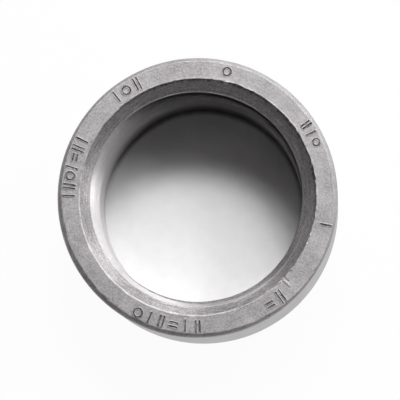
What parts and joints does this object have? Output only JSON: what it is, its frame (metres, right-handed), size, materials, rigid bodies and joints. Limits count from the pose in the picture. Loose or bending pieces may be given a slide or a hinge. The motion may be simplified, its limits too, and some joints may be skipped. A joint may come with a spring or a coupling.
{
  "type": "half coupling",
  "caption": "Short thick-walled steel pipe fitting: straight through bore, taper pipe thread behind a countersunk mouth, and a plain flat end to weld to a pipe or vessel.",
  "frame": {"origin": "centre of the bore in the plane of the flat weld end", "axes": "+Z along the bore, out of the threaded mouth; the thread's first groove leaves the countersink 15 degrees clockwise of +X, seen from the mouth"},
  "size_m": [0.0762, 0.0762, 0.043],
  "materials": {
    "forged_steel": "satin grey, shot-blasted forged carbon steel with turned bore and countersink"
  },
  "bodies": {
    "root": {"coupling_body": "forged_steel"}
  },
  "joints": []
}
